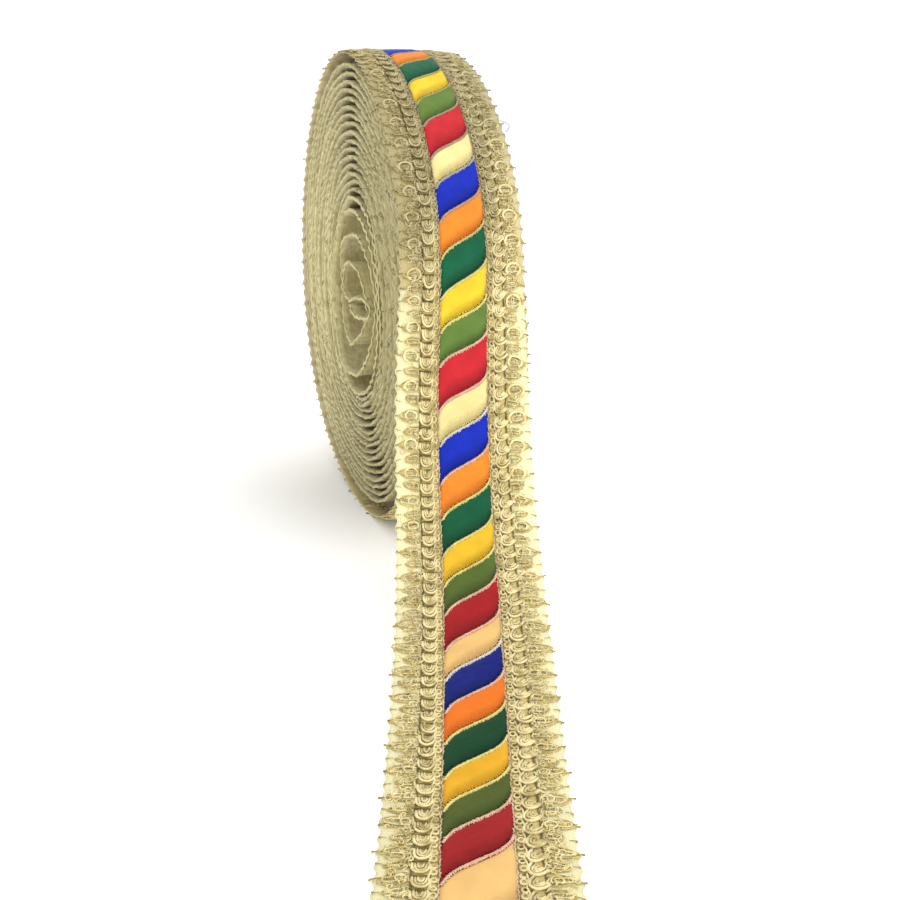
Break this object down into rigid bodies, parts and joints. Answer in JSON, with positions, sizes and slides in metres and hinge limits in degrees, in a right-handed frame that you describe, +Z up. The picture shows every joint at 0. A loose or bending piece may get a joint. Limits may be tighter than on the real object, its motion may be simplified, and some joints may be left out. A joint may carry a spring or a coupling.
{
  "type": "roll of lace trim",
  "caption": "Roll of sheer lace trim with a pieced satin band, looped braids and tufted edges, its loose end lying forward on the floor.",
  "frame": {"origin": "middle of the flat spot that the roll rests on", "axes": "+Z up, +X along the roll's axis to its right side, -Y forward, the way the loose end runs"},
  "size_m": [0.1307, 0.4678, 0.206],
  "materials": {
    "net": "sheer cream net",
    "wound_edges": "stacked edges of khaki net",
    "satin": "glossy satin in seven colours",
    "braid_thread": "twisted beige thread with a soft sheen",
    "tuft_thread": "stitched dull gold thread"
  },
  "bodies": {
    "root": {"wound_roll": "wound_edges", "loose_tape": "net", "loose_patch_band": "satin", "loose_braid_left": "braid_thread", "loose_braid_right": "braid_thread", "loose_tufts_left": "tuft_thread", "loose_tufts_right": "tuft_thread"}
  },
  "joints": []
}
